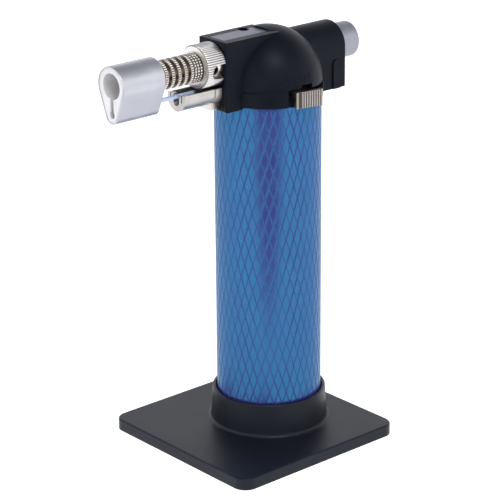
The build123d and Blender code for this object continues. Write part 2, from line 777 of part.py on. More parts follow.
with BuildPart() as burner_tube:
    extrude(disc(burner_plane(shank_rear), shank_radius), amount=block_front - shank_rear)
    extrude(disc(burner_plane(block_front), hub_radius), amount=collar_front - block_front)
    extrude(disc(burner_plane(collar_front), fin_root_radius),
            amount=fins_front - collar_front)
    for ring in range(ring_count):
        extrude(disc(burner_plane(first_ring + ring * ring_pitch), fin_radius),
                amount=ring_thickness)
    for fin in range(fin_count):
        extrude(disc(burner_plane(first_fin + fin * fin_pitch), fin_radius),
                amount=fin_thickness)
    extrude(disc(burner_plane(fins_front), nose_radius), amount=nose_front - fins_front)
    extrude(disc(burner_plane(shank_rear), burner_bore), amount=nose_front - shank_rear,
            mode=Mode.SUBTRACT)
    extrude(disc(port_plane, air_port_radius), amount=hub_radius, both=True,
            mode=Mode.SUBTRACT)
burner_tube.part.label = "burner_tube"

with BuildPart() as burner_nut:
    with BuildSketch(burner_plane(block_front - front_wall - nut_thickness)):
        Circle(nut_radius)
        Circle(shank_radius, mode=Mode.SUBTRACT)
        with PolarLocations(nut_radius, 4, start_angle=45):
            Rectangle(2 * nut_slot_depth, nut_slot_width, mode=Mode.SUBTRACT)
    extrude(amount=nut_thickness)
burner_nut.part.label = "burner_nut"

with BuildPart() as flame_screen:
    with BuildSketch(burner_plane(screen_front)):
        Circle(burner_bore)
        with HexLocations(screen_hole_spacing, screen_hole_rows, screen_hole_rows):
            Circle(screen_hole_radius, mode=Mode.SUBTRACT)
    extrude(amount=screen_thickness)
flame_screen.part.label = "flame_screen"

with BuildPart() as burner_tip:
    with BuildSketch(burner_plane(nose_front - tip_thickness)):
        Circle(burner_bore)
        Circle(tip_bore, mode=Mode.SUBTRACT)
        with PolarLocations(tip_port_circle, tip_port_count):
            Circle(tip_port_radius, mode=Mode.SUBTRACT)
    extrude(amount=tip_thickness)
burner_tip.part.label = "burner_tip"

collar_rear = block_front + collar_face_gap
notch_plane = Plane(origin=(0, -collar_rear, burner_z), x_dir=(0, -1, 0),
                    z_dir=port_plane.z_dir)
with BuildPart() as air_collar:
    extrude(disc(burner_plane(collar_rear), collar_radius, hub_radius + slide_fit),
            amount=collar_front - collar_rear)
    chamfer(air_collar.faces().sort_by(Axis.Y)[0].outer_wire().edges(), collar_chamfer)
    chamfer(air_collar.faces().sort_by(Axis.Y)[-1].outer_wire().edges(),
            collar_chamfer / 2)
    with BuildSketch(notch_plane):
        with Locations((0, 0)):
            SlotCenterToCenter(2 * (collar_notch_length - collar_notch_width / 2),
                               collar_notch_width)
    extrude(amount=collar_radius, both=True, mode=Mode.SUBTRACT)
air_collar.part.label = "air_collar"

# ---- flame guard ---------------------------------------------------------------
ceramic_rear = guard_rear + guard_wall
ceramic_front = guard_front - ceramic_recess

with BuildPart() as flame_guard:
    extrude(teardrop(burner_plane(guard_rear)), amount=guard_front - guard_rear)
    for end in (0, -1):
        fillet(flame_guard.faces().sort_by(Axis.Y)[end].edges(), guard_edge_radius)
    extrude(teardrop(burner_plane(ceramic_rear), guard_wall),
            amount=guard_front - ceramic_rear, mode=Mode.SUBTRACT)
    extrude(disc(burner_plane(guard_rear), nose_radius), amount=guard_wall,
            mode=Mode.SUBTRACT)
    with BuildSketch(burner_plane(guard_rear)):
        with Locations((0, -wire_drop)):
            Circle(wire_radius)
    extrude(amount=guard_wall, mode=Mode.SUBTRACT)
flame_guard.part.label = "flame_guard"

slot_low = -guard_foot_drop
with BuildPart() as ceramic_insert:
    extrude(teardrop(burner_plane(ceramic_rear), guard_wall),
            amount=ceramic_front - ceramic_rear)
    extrude(disc(burner_plane(ceramic_rear), nose_radius),
            amount=ceramic_front - ceramic_rear, mode=Mode.SUBTRACT)
    extrude(disc(burner_plane(ceramic_front - mouth_depth), mouth_radius),
            amount=mouth_depth, mode=Mode.SUBTRACT)
    with BuildSketch(burner_plane(ceramic_front - mouth_depth)):
        with Locations((0, slot_low / 2)):
            Rectangle(electrode_slot_width, -slot_low)
        with Locations((0, slot_low)):
            Circle(electrode_slot_end)
    extrude(amount=mouth_depth, mode=Mode.SUBTRACT)
    front_face = ceramic_insert.faces().sort_by(Axis.Y)[0]
    fillet(front_face.inner_wires()[0].edges(), mouth_edge_radius)
    with BuildSketch(burner_plane(ceramic_rear)):
        with Locations((0, -wire_drop)):
            Circle(wire_radius)
    extrude(amount=ceramic_front - mouth_depth - ceramic_rear, mode=Mode.SUBTRACT)
ceramic_insert.part.label = "ceramic_insert"

with BuildPart() as electrode:
    with BuildLine() as electrode_path:
        FilletPolyline((0, -wire_front, wire_z), (0, -electrode_front, wire_z),
                       (0, -electrode_front, wire_z + electrode_rise),
                       radius=electrode_bend)
    with BuildSketch(Plane(origin=(0, -wire_front, wire_z), z_dir=(0, -1, 0))):
        Circle(electrode_radius)
    sweep(path=electrode_path.line)
electrode.part.label = "electrode"

# ---- trough, wire and foot -----------------------------------------------------
trough_low = -trough_axis_drop - trough_radius
rivet_y = -block_front - foot_length + rivet_radius
inner_reach = trough_front - trough_cap - block_front

with BuildPart() as wire_trough:
    extrude(trough_outline(burner_plane(block_front)), amount=trough_front - block_front)
    extrude(trough_outline(burner_plane(block_front), band_proud), amount=band_width)
    extrude(trough_outline(burner_plane(block_front), -trough_wall), amount=inner_reach,
            mode=Mode.SUBTRACT)
    with BuildSketch(burner_plane(trough_front)):
        with Locations((0, -trough_notch_drop)):
            Circle(trough_notch_radius)
        with Locations((0, -trough_notch_drop + trough_notch_height / 2)):
            Rectangle(2 * trough_notch_radius, trough_notch_height)
        for side in (-1, 1):
            with Locations((side * trough_slit_x, -trough_notch_drop + trough_slit_height)):
                Rectangle(trough_slit, 2 * trough_slit_height)
    extrude(amount=-trough_cap, mode=Mode.SUBTRACT)
    with BuildSketch(burner_plane(block_front)):
        with Locations((0, -trough_axis_drop + trough_side + band_proud)):
            Rectangle(4 * trough_radius, 2 * band_proud)
    extrude(amount=trough_front - block_front, mode=Mode.SUBTRACT)
    with BuildSketch(level(burner_z + trough_low - trough_wall)):
        with Locations((0, rivet_y)):
            Circle(rivet_shank_radius)
    extrude(amount=3 * trough_wall, mode=Mode.SUBTRACT)
wire_trough.part.label = "wire_trough"

with BuildPart() as trough_foot:
    with BuildSketch(level(burner_z + trough_low - foot_drop)):
        with Locations((0, -block_front - foot_length / 2)):
            Rectangle(2 * foot_half_width, foot_length)
        with Locations((0, rivet_y)):
            Circle(rivet_shank_radius, mode=Mode.SUBTRACT)
    extrude(amount=foot_drop + foot_lap)
    add(extrude(trough_outline(burner_plane(block_front), band_proud),
                amount=band_width, mode=Mode.PRIVATE), mode=Mode.SUBTRACT)
    add(extrude(trough_outline(burner_plane(block_front)), amount=2 * foot_length,
                mode=Mode.PRIVATE), mode=Mode.SUBTRACT)
trough_foot.part.label = "trough_foot"

with BuildPart() as trough_rivet:
    with BuildSketch(level(burner_z + trough_low - foot_drop)):
        with Locations((0, rivet_y)):
            Circle(rivet_shank_radius)
    extrude(amount=foot_drop + trough_wall + rivet_head_gap)
    with BuildSketch(level(burner_z + trough_low + trough_wall + rivet_head_gap)):
        with Locations((0, rivet_y)):
            Circle(rivet_radius)
    extrude(amount=rivet_head_height)
trough_rivet.part.label = "trough_rivet"

# The lead's route, chosen by hand: along the trough, past the elbow, into the case.
wire_route = [
    (0, -wire_front, wire_z),
    (0, -20.5, wire_z),
    (5.0, -10.0, wire_z + 2.0),
    (5.0, 1.0, barrel_z - 1.0),
    (2.0, 5.0, barrel_z),
    (2.0, piezo_front, barrel_z),
]
with BuildPart() as ignition_wire:
    with BuildLine() as wire_path:
        FilletPolyline(*wire_route, radius=wire_bend)
    with BuildSketch(Plane(origin=(0, -wire_front, wire_z), z_dir=(0, 1, 0))):
        Circle(wire_radius)
    sweep(path=wire_path.line)
ignition_wire.part.label = "ignition_wire"

# ---- ignition ------------------------------------------------------------------
button_front = button_rear - button_length
button_inner_end = button_rear - button_end
piezo_rear = piezo_front + piezo_length

with BuildPart() as ignition_button:
    extrude(disc(barrel_plane(button_front), button_radius), amount=button_length)
    fillet(ignition_button.faces().sort_by(Axis.Y)[-1].edges(), button_edge_radius)
    extrude(disc(barrel_plane(button_front), button_radius - button_wall),
            amount=button_inner_end - button_front, mode=Mode.SUBTRACT)
ignition_button.part.label = "ignition_button"

crystal_rear = crystal_front + crystal_length
with BuildPart() as piezo_case:
    with BuildSketch(barrel_plane(piezo_front)):
        Rectangle(2 * piezo_half_width, 2 * piezo_half_height)
    extrude(amount=piezo_length)
    extrude(disc(barrel_plane(crystal_front), crystal_radius), amount=crystal_length,
            mode=Mode.SUBTRACT)
    extrude(disc(barrel_plane(crystal_rear), plunger_radius + slide_fit),
            amount=piezo_rear - crystal_rear, mode=Mode.SUBTRACT)
piezo_case.part.label = "piezo_case"

with BuildPart() as piezo_crystal:
    extrude(disc(barrel_plane(crystal_front), crystal_radius), amount=crystal_length)
piezo_crystal.part.label = "piezo_crystal"

with BuildPart() as piezo_hammer:
    extrude(disc(barrel_plane(crystal_rear + hammer_gap), plunger_radius - 2 * slide_fit),
            amount=hammer_length)
piezo_hammer.part.label = "piezo_hammer"

with BuildPart() as piezo_plunger:
    extrude(disc(barrel_plane(plunger_front), plunger_radius),
            amount=button_inner_end - plunger_front)
piezo_plunger.part.label = "piezo_plunger"

button_spring = coil(barrel_plane(piezo_rear), button_inner_end - piezo_rear,
                     button_spring_radius, button_spring_wire, button_spring_turns)
button_spring.label = "button_spring"

# ---- export --------------------------------------------------------------------
sub_parts = [
    stand_base.part, tank_shell.part, tank_base.part, tank_cap.part, tank_seal.part,
    fill_valve_body.part, fill_valve_seal.part, fill_valve_stem.part, fill_valve_spring,
    outlet_valve_body.part, valve_washer.part, valve_nozzle.part, valve_adjuster.part,
    wick_tube.part, gas_lever.part, housing_cover.part, skirt_ring.part,
    label_plate.part, head_bracket.part, bracket_screw.part, cover_screw.part,
    gas_elbow.part, gas_pipe.part, jet_nozzle.part, burner_tube.part, burner_nut.part,
    flame_screen.part, burner_tip.part, air_collar.part, flame_guard.part,
    ceramic_insert.part, electrode.part, wire_trough.part, trough_foot.part,
    trough_rivet.part, ignition_wire.part, ignition_button.part, piezo_case.part,
    piezo_crystal.part, piezo_hammer.part, piezo_plunger.part, button_spring,
]
os.makedirs("parts", exist_ok=True)
for sub_part in sub_parts:
    export_step(sub_part, f"parts/{sub_part.label}.step")
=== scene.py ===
import json
import logging
import math
from dataclasses import dataclass
from enum import Enum
from typing import Any, Dict, List, Sequence, Tuple, Union

import bpy
import numpy as np
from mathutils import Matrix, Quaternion, Vector

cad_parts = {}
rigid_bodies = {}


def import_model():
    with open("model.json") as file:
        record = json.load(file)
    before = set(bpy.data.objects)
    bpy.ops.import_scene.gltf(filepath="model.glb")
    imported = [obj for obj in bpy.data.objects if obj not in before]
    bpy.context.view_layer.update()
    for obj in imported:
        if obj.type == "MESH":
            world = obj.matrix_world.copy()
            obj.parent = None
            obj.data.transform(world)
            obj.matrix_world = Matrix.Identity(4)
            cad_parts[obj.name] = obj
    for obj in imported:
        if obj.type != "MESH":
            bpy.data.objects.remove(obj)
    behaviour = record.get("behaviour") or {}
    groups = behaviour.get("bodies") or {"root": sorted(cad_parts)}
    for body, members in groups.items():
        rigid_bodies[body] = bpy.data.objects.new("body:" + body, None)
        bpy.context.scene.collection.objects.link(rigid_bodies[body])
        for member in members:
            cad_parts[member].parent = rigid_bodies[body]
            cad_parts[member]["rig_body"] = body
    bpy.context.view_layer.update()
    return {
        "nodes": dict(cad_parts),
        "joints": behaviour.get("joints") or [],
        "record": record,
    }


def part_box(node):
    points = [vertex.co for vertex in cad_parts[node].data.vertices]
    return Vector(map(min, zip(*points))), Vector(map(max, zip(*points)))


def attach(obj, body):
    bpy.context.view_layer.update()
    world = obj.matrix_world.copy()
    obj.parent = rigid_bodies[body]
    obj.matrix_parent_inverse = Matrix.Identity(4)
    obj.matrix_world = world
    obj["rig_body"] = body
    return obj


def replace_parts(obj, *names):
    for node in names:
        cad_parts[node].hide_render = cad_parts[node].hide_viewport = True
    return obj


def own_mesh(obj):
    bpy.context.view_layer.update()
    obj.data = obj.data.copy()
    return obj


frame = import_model()

# Looks for a refillable butane bench torch: a knurled blue tank under a black head,
# with a nickel burner in an aluminium flame guard, standing in a square black base.
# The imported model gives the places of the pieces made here. Lengths are metres, and MM
# turns millimetres into them.

MM = 0.001
NECK_RADIUS = 17.0 * MM         # of the tank's neck, outside
PLAIN_FOOT = 1.4 * MM           # smooth strip at the tank's lower rim
COLLAR_BORE = 5.55 * MM
RIM_CREST = 5.2 * MM            # the toothed rims' radius
FACE_GAP = 0.3 * MM             # from the collar to the first grip ring
SKIRT_HEIGHT = 5.4 * MM
DOME_OVERHANG = 0.3 * MM        # the dome's radius over the tank's
BARREL_DROP = 2.3 * MM          # the barrel's axis below the burner's
Colour = Tuple[float, float, float]
Place = Tuple[float, float, float]
Points = np.ndarray
Faces = Union[np.ndarray, List[List[int]]]
log = logging.getLogger("torch")


# ---- shader graphs ---------------------------------------------------------------
class Wire:
    """A number that varies over a surface. Arithmetic on it adds Math nodes."""

    def __init__(self, graph: "Graph", socket: bpy.types.NodeSocket) -> None:
        """Keeps the graph and the output socket that carries the number."""
        self.graph = graph
        self.socket = socket

    def maths(self, operation: str, *terms: "Value", clamp: bool = False) -> "Wire":
        """Adds one Math node.

        Args:
            operation: the node's operation.
            terms: its inputs in order, wires or numbers.
            clamp: whether the result is kept from 0 to 1.

        Returns:
            The node's result.
        """
        settings = {"operation": operation, "use_clamp": clamp}
        return self.graph.node("ShaderNodeMath", settings, dict(enumerate(terms)))

    def __add__(self, other: "Value") -> "Wire":
        """Sum."""
        return self.maths("ADD", self, other)

    __radd__ = __add__

    def __sub__(self, other: "Value") -> "Wire":
        """Difference."""
        return self.maths("SUBTRACT", self, other)

    def __rsub__(self, other: "Value") -> "Wire":
        """Difference from a number."""
        return self.maths("SUBTRACT", other, self)

    def __mul__(self, other: "Value") -> "Wire":
        """Product."""
        return self.maths("MULTIPLY", self, other)

    __rmul__ = __mul__

    def __truediv__(self, other: "Value") -> "Wire":
        """Quotient."""
        return self.maths("DIVIDE", self, other)

    def __pow__(self, other: "Value") -> "Wire":
        """Power."""
        return self.maths("POWER", self, other)

    def __abs__(self) -> "Wire":
        """Size without sign."""
        return self.maths("ABSOLUTE", self)

    def from_whole(self) -> "Wire":
        """Distance to the nearest whole number."""
        return self.maths("PINGPONG", self, 0.5)

    def between(self, low: float, high: float) -> "Wire":
        """Smooth step that is 0 below low and 1 above high.

        Args:
            low: where the step starts.
            high: where it ends.

        Returns:
            The step, from 0 to 1.
        """
        settings = {"interpolation_type": "SMOOTHSTEP"}
        return self.graph.node("ShaderNodeMapRange", settings, {0: self, 1: low, 2: high})


Value = Union[Wire, float, Sequence[float]]


class Graph:
    """The node graph of one material, with its shader and object coordinates."""

    def __init__(self, name: str) -> None:
        """Makes an empty material of that name.

        Args:
            name: the material's name.
        """
        self.material = bpy.data.materials.new(name)
        self.material.use_nodes = True
        self.tree = self.material.node_tree
        self.shader = self.tree.nodes["Principled BSDF"]
        self.place = self.node("ShaderNodeTexCoord", {}, {}, "Object")

    def node(self, kind: str, settings: Dict[str, Any], inputs: Dict[Any, Value],
             output: Union[int, str] = 0) -> Wire:
        """Adds a node of any type.

        Args:
            kind: the node's type.
            settings: its properties, which are set first.
            inputs: values or wires by socket number or name.
            output: which output is wanted.

        Returns:
            The wanted output.
        """
        made = self.tree.nodes.new(kind)
        for key, value in settings.items():
            setattr(made, key, value)
        for key, value in inputs.items():
            self.feed(made.inputs[key], value)
        return Wire(self, made.outputs[output])

    def feed(self, socket: bpy.types.NodeSocket, value: Value) -> None:
        """Links a wire to a socket, or sets the socket's own value."""
        if isinstance(value, Wire):
            self.tree.links.new(value.socket, socket)
        else:
            socket.default_value = value

    def set(self, name: str, value: Value) -> None:
        """Feeds one socket of the shader."""
        self.feed(self.shader.inputs[name], value)

    def axes(self) -> List[Wire]:
        """X, Y and Z of the surface point."""
        split = self.tree.nodes.new("ShaderNodeSeparateXYZ")
        self.tree.links.new(self.place.socket, split.inputs[0])
        return [Wire(self, out) for out in split.outputs]

    def vector(self, x: Value, y: Value, z: Value) -> Wire:
        """A vector from three numbers."""
        return self.node("ShaderNodeCombineXYZ", {}, {0: x, 1: y, 2: z})

    def blend(self, factor: Value, first: Union[Colour, Wire],
              second: Union[Colour, Wire]) -> Wire:
        """Mixes two colours, each given as one or as a wire that carries one.

        Args:
            factor: 0 for the first, 1 for the second.
            first: the first colour.
            second: the second colour.

        Returns:
            The mixed colour.
        """
        a, b = [c if isinstance(c, Wire) else (*c, 1.0) for c in (first, second)]
        settings = {"data_type": "RGBA"}
        return self.node("ShaderNodeMix", settings, {0: factor, 6: a, 7: b}, 2)

    def noise(self, where: Wire, size: float, detail: float = 2.0,
              rough: float = 0.5) -> Wire:
        """Noise whose features are about size across.

        Args:
            where: the place to read it at.
            size: the features' size, in metres.
            detail: octaves beyond the first.
            rough: how strong the finer octaves are.

        Returns:
            Noise from 0 to 1 about a half.
        """
        inputs = {"Vector": where, "Scale": 1.0 / size, "Detail": detail,
                  "Roughness": rough}
        return self.node("ShaderNodeTexNoise", {"noise_dimensions": "3D"}, inputs)

    def bump(self, height: Wire, depth: float) -> None:
        """Raises the surface by height times depth metres."""
        inputs = {"Strength": 1.0, "Distance": depth, "Height": height}
        self.set("Normal", self.node("ShaderNodeBump", {}, inputs))


# ---- finishes ----------------------------------------------------------------------
class Grain(Enum):
    """How the fine texture of a finish runs."""

    MOULDED = "even pimples left by a plastic mould"
    DRAWN = "fine lines along the nozzle"
    TURNED = "fine rings round the nozzle's axis"
    ROLLED = "fine lines up and down"
    FIRED = "specks and pores of fired ceramic"


@dataclass(frozen=True)
class Finish:
    """One finish, dressed from two close colours and one grain."""

    name: str
    colour: Colour
    shade: Colour
    roughness: float
    wander: float
    metallic: float
    grain: Grain
    grain_size: float
    relief: float
    patch_size: float = 6 * MM
    specular: float = 0.5
    axis_height: float = 0.0
    gloss_tint: Colour = (1.0, 1.0, 1.0)

    def start(self) -> Graph:
        """A graph with the values that are the same all over."""
        graph = Graph(self.name)
        graph.set("Metallic", self.metallic)
        graph.set("Specular IOR Level", self.specular)
        graph.set("Specular Tint", (*self.gloss_tint, 1.0))
        return graph

    def grain_place(self, graph: Graph) -> Wire:
        """Coordinates that stretch the noise along the grain.

        Args:
            graph: the material's graph.

        Returns:
            A vector for the noise.
        """
        x, y, z = graph.axes()
        stretch = 0.02
        if self.grain is Grain.DRAWN:
            return graph.vector(x, y * stretch, z)
        if self.grain is Grain.ROLLED:
            return graph.vector(x, y, z * stretch)
        if self.grain is Grain.TURNED:
            return graph.vector(self.axis_distance(x, z), y, 0.0)
        return graph.place

    def axis_distance(self, x: Wire, z: Wire) -> Wire:
        """Distance of the surface point from the nozzle's axis."""
        height = z - self.axis_height
        return (x * x + height * height) ** 0.5

    def dress(self, graph: Graph) -> Wire:
        """Sets colour, roughness and relief from the grain and from slow patches.

        Args:
            graph: the material's graph.

        Returns:
            The fine grain, from 0 to 1.
        """
        fine = graph.noise(self.grain_place(graph), self.grain_size, 3.0, 0.6)
        patches = graph.noise(graph.place, self.patch_size, 2.0)
        tone = (fine * 0.5 + patches * 0.5).between(0.3, 0.7)
        graph.set("Base Color", graph.blend(tone, self.shade, self.colour))
        drift = (fine + patches - 1.0) * (2.0 * self.wander)
        graph.set("Roughness", drift + self.roughness)
        graph.bump(fine, self.relief)
        return fine

    def material(self) -> bpy.types.Material:
        """Builds the material."""
        graph = self.start()
        self.dress(graph)
        return graph.material


@dataclass(frozen=True)
class FiredCeramic(Finish):
    """White ceramic with pin pores and faint grey specks."""

    pore_size: float = 0.5 * MM
    speck_colour: Colour = (0.42, 0.41, 0.40)

    def material(self) -> bpy.types.Material:
        """Builds the material."""
        graph = self.start()
        fine = self.dress(graph)
        settings = {"feature": "F1", "distance": "EUCLIDEAN"}
        pores = graph.node("ShaderNodeTexVoronoi", settings,
                           {"Vector": graph.place, "Scale": 1.0 / self.pore_size})
        speck = (1.0 - pores.between(0.05, 0.16)) * 0.5
        patches = graph.noise(graph.place, self.patch_size, 2.0).between(0.35, 0.65)
        base = graph.blend(patches, self.shade, self.colour)
        graph.set("Base Color", graph.blend(speck, base, self.speck_colour))
        graph.bump(fine - speck, self.relief)
        return graph.material


@dataclass(frozen=True)
class RecessedMetal(Finish):
    """Plated metal whose recesses, nearer to the nozzle's axis, are painted dark as painted
    shade.
    """

    recess_shade_colour: Colour = (0.25, 0.21, 0.165)
    recess_radius: float = 4.1 * MM
    crest_radius: float = 4.9 * MM

    def material(self) -> bpy.types.Material:
        """Builds the material."""
        graph = self.start()
        fine = self.dress(graph)
        x, _, z = graph.axes()
        radius = self.axis_distance(x, z)
        crest = radius.between(self.recess_radius, self.crest_radius)
        bright = graph.blend(fine.between(0.3, 0.7), self.shade, self.colour)
        # Painted shade: the colour darkens in the recesses, nearer the nozzle's axis.
        graph.set("Base Color", graph.blend(crest, self.recess_shade_colour, bright))
        return graph.material


@dataclass(frozen=True)
class GroovedMetal(Finish):
    """Plated metal with painted shade in its grooves, between two radii from the nozzle's
    axis.
    """

    painted_shade_colour: Colour = (0.10, 0.085, 0.07)
    face_radius: float = 7.2 * MM
    groove_radius: float = 7.36 * MM
    crest_radius: float = 7.58 * MM

    def material(self) -> bpy.types.Material:
        """Builds the material."""
        graph = self.start()
        fine = self.dress(graph)
        x, _, z = graph.axes()
        radius = self.axis_distance(x, z)
        outside = radius.between(self.face_radius, self.face_radius + 0.1 * MM)
        groove = (1.0 - radius.between(self.groove_radius, self.crest_radius)) * outside
        bright = graph.blend(fine.between(0.3, 0.7), self.shade, self.colour)
        # Painted shade: the groove bottoms are darkened in the base colour.
        graph.set("Base Color", graph.blend(groove, bright, self.painted_shade_colour))
        return graph.material


@dataclass(frozen=True)
class RibbedMetal(Finish):
    """Plated metal painted dark between the ribs of the gas lever's tab, as painted shade.

    The distance along the tab's normal, x cos h + y sin h with h its heading, is the
    tab's own face at face and a rib's crest at crest.
    """

    painted_shade_colour: Colour = (0.07, 0.06, 0.055)
    heading: float = -10.8
    face: float = 21.32 * MM
    crest: float = 21.66 * MM

    def material(self) -> bpy.types.Material:
        """Builds the material."""
        graph = self.start()
        fine = self.dress(graph)
        x, y, _ = graph.axes()
        turn = math.radians(self.heading)
        out = x * math.cos(turn) + y * math.sin(turn)
        inner = out.between(self.face - 0.3 * MM, self.face - 0.1 * MM)
        valley = (1.0 - out.between(self.face, self.crest)) * inner
        bright = graph.blend(fine.between(0.3, 0.7), self.shade, self.colour)
        # Painted shade: the valleys between the ribs are darkened in the base colour.
        graph.set("Base Color", graph.blend(valley, bright, self.painted_shade_colour))
        return graph.material


@dataclass(frozen=True)
class SleevedWire(Finish):
    """A pale sleeve whose colour is painted dark under the collar, as painted shade."""

    dark: Colour = (0.012, 0.014, 0.022)
    dark_from: float = -34.0 * MM

    def material(self) -> bpy.types.Material:
        """Builds the material."""
        graph = self.start()
        fine = self.dress(graph)
        _, y, _ = graph.axes()
        pale = graph.blend(fine.between(0.3, 0.7), self.shade, self.colour)
        # Painted shade: from dark_from back the wire's colour goes dark, where the collar
        # shades it.
        behind = y.between(self.dark_from - 0.8 * MM, self.dark_from + 0.8 * MM)
        graph.set("Base Color", graph.blend(behind, pale, self.dark))
        return graph.material


@dataclass(frozen=True)
class AnodisedKnurl(Finish):
    """Dyed aluminium whose knurled grooves are painted a deeper violet as painted shade.

    A groove runs where starts * turn + z / lead or starts * turn - z / lead is whole,
    with turn the angle round the tank in whole turns.
    """

    # Painted shade: the colour laid along the grooves, and how strongly it is laid.
    groove_shade_colour: Colour = (0.022, 0.010, 0.105)
    dye_colour: Colour = (0.050, 0.031, 0.238)
    dye_share: float = 0.5
    groove_shade_strength: float = 0.70
    starts: int = 40
    lead: float = 9.77 * MM
    lowest: float = 0.0
    groove_width: float = 0.19 * MM
    radius: float = 19.0 * MM

    def dye(self, graph: Graph) -> None:
        """Lays the violet dye, which scatters light, over the metal's own gloss."""
        layer = graph.tree.nodes.new("ShaderNodeBsdfPrincipled")
        layer.inputs["Base Color"].default_value = (*self.dye_colour, 1.0)
        layer.inputs["Roughness"].default_value = 0.5
        layer.inputs["Specular IOR Level"].default_value = 0.15
        both = graph.tree.nodes.new("ShaderNodeMixShader")
        both.inputs[0].default_value = self.dye_share
        surface = graph.tree.nodes["Material Output"].inputs["Surface"]
        for number, shader in ((1, graph.shader), (2, layer)):
            graph.tree.links.new(shader.outputs[0], both.inputs[number])
        graph.tree.links.new(both.outputs[0], surface)

    def material(self) -> bpy.types.Material:
        """Builds the material."""
        graph = self.start()
        fine = self.dress(graph)
        self.dye(graph)
        x, y, z = graph.axes()
        turn = x.maths("ARCTAN2", y, x) * (self.starts / math.tau)
        rise = (z - self.lowest) / self.lead
        pitch = math.tau * self.radius / self.starts
        near = (turn + rise).from_whole().maths(
            "MINIMUM", (turn + rise).from_whole(), (turn - rise).from_whole())
        groove = 1.0 - (near * pitch).between(0.3 * self.groove_width, self.groove_width)
        patches = graph.noise(graph.place, self.patch_size, 2.0)
        tone = (fine * 0.6 + patches * 0.4).between(0.3, 0.7)
        base = graph.blend(tone, self.shade, self.colour)
        # Painted shade: the grooves are darkened towards violet in the base colour.
        graph.set("Base Color", graph.blend(groove * self.groove_shade_strength, base,
                                            self.groove_shade_colour))
        return graph.material


# ---- surfaces ------------------------------------------------------------------------
def add_object(name: str, data: bpy.types.ID) -> bpy.types.Object:
    """Puts a mesh, light or camera into the scene as an object of that name."""
    made = bpy.data.objects.new(name, data)
    bpy.context.scene.collection.objects.link(made)
    return made


def ring_faces(rows: int, columns: int, split_lines: int = 0) -> np.ndarray:
    """Faces of a closed ring: the profile's rows times the path's columns.

    Args:
        rows: points round the closed profile.
        columns: points round the closed path.
        split_lines: where above 0, quads become triangles whose long sides lie on the
            lines where row plus column, or row minus column, divides by it.

    Returns:
        An array of corner numbers, four or three to a face.
    """
    row, column = np.divmod(np.arange(rows * columns), columns)
    up, on = (row + 1) % rows, (column + 1) % columns
    a, b = row * columns + column, row * columns + on
    d, c = up * columns + column, up * columns + on
    if split_lines == 0:
        return np.stack([a, b, c, d], axis=1)
    along = (column - row) % split_lines == 0
    first = np.where(along[:, None], np.stack([a, b, c], 1), np.stack([a, b, d], 1))
    second = np.where(along[:, None], np.stack([a, c, d], 1), np.stack([b, c, d], 1))
    return np.concatenate([first, second])


def make_piece(name: str, points: Points, faces: Faces, body: str,
               material: bpy.types.Material, sharp: float = 30.0) -> bpy.types.Object:
    """Puts arrays into a mesh that rides on a body.

    Args:
        name: the piece's name.
        points: its corners, in metres, in rows of three.
        faces: corner numbers of its faces, which face outwards.
        body: the CAD body that it rides on.
        material: what it is dressed in.
        sharp: edges that turn more than this, in degrees, stay crisp.

    Returns:
        The finished piece.
    """
    mesh = bpy.data.meshes.new(name)
    mesh.from_pydata(points.reshape(-1, 3), [], faces)
    mesh.validate()
    mesh.polygons.foreach_set("use_smooth", np.ones(len(mesh.polygons), bool))
    mesh.set_sharp_from_angle(angle=math.radians(sharp))
    mesh.materials.append(material)
    mesh.update()
    piece = add_object(name, mesh)
    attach(piece, body)
    log.info("%s: %d points, %d faces", name, len(mesh.vertices), len(mesh.polygons))
    return piece


# ---- tank ----------------------------------------------------------------------------
@dataclass
class KnurledTank:
    """The blue tank: a tube with a diamond knurl, a shoulder and a neck.

    The knurl is cut by two families of helical grooves, forty starts each way.
    """

    finish: AnodisedKnurl
    radius: float
    low: float
    shoulder: float
    top: float
    neck_radius: float
    wall: float = 1.4 * MM
    groove_depth: float = 0.13 * MM
    cells: int = 12

    def knurl(self) -> Points:
        """The knurled wall.

        Column c stands at angle c * tau / columns and row r at height
        low + r * lead / cells. A groove bottom is a point where row plus column, or row
        minus column, divides by cells, and it lies groove_depth under the surface.

        Returns:
            An array of rows by columns by three.
        """
        columns = self.finish.starts * self.cells
        step = self.finish.lead / self.cells
        count = int((self.shoulder - 0.6 * MM - self.finish.lowest) / step)
        row, column = np.mgrid[0:count + 1, 0:columns]
        groove = ((row + column) % self.cells == 0) | ((column - row) % self.cells == 0)
        edge = (row == 0) | (row == count)
        radius = self.radius - self.groove_depth * (groove & ~edge)
        angle = column * math.tau / columns
        height = self.finish.lowest + row * step
        return np.stack([radius * np.cos(angle), radius * np.sin(angle), height], axis=2)

    def plain(self, profile: Sequence[Tuple[float, float]]) -> Points:
        """Smooth rows: each radius and height of the profile turned round the axis."""
        columns = self.finish.starts * self.cells
        angle = np.arange(columns) * math.tau / columns
        radius, height = (np.array(profile)[:, k:k + 1] for k in (0, 1))
        return np.stack([radius * np.cos(angle), radius * np.sin(angle),
                         np.broadcast_to(height, (len(profile), columns))], axis=2)

    def build(self) -> bpy.types.Object:
        """Builds the tank as one closed ring round its axis."""
        soft = 0.35 * MM
        bore = self.radius - self.wall
        neck_bore = self.neck_radius - self.wall
        knurl = self.knurl()
        over = [(self.radius, self.shoulder - soft), (self.radius - 0.3 * soft,
                self.shoulder - 0.3 * soft), (self.radius - soft, self.shoulder),
                (self.neck_radius, self.shoulder), (self.neck_radius, self.top),
                (neck_bore, self.top), (neck_bore, self.shoulder - self.wall),
                (bore, self.shoulder - self.wall), (bore, self.low),
                (self.radius - self.wall / 2, self.low),
                (self.radius, self.low + self.wall / 2)]
        points = np.concatenate([knurl, self.plain(over)])
        faces = ring_faces(len(points), points.shape[1], self.cells)
        piece = make_piece("knurled_tank", points, faces, "torch",
                           self.finish.material(), sharp=16.0)
        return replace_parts(piece, "tank_shell")


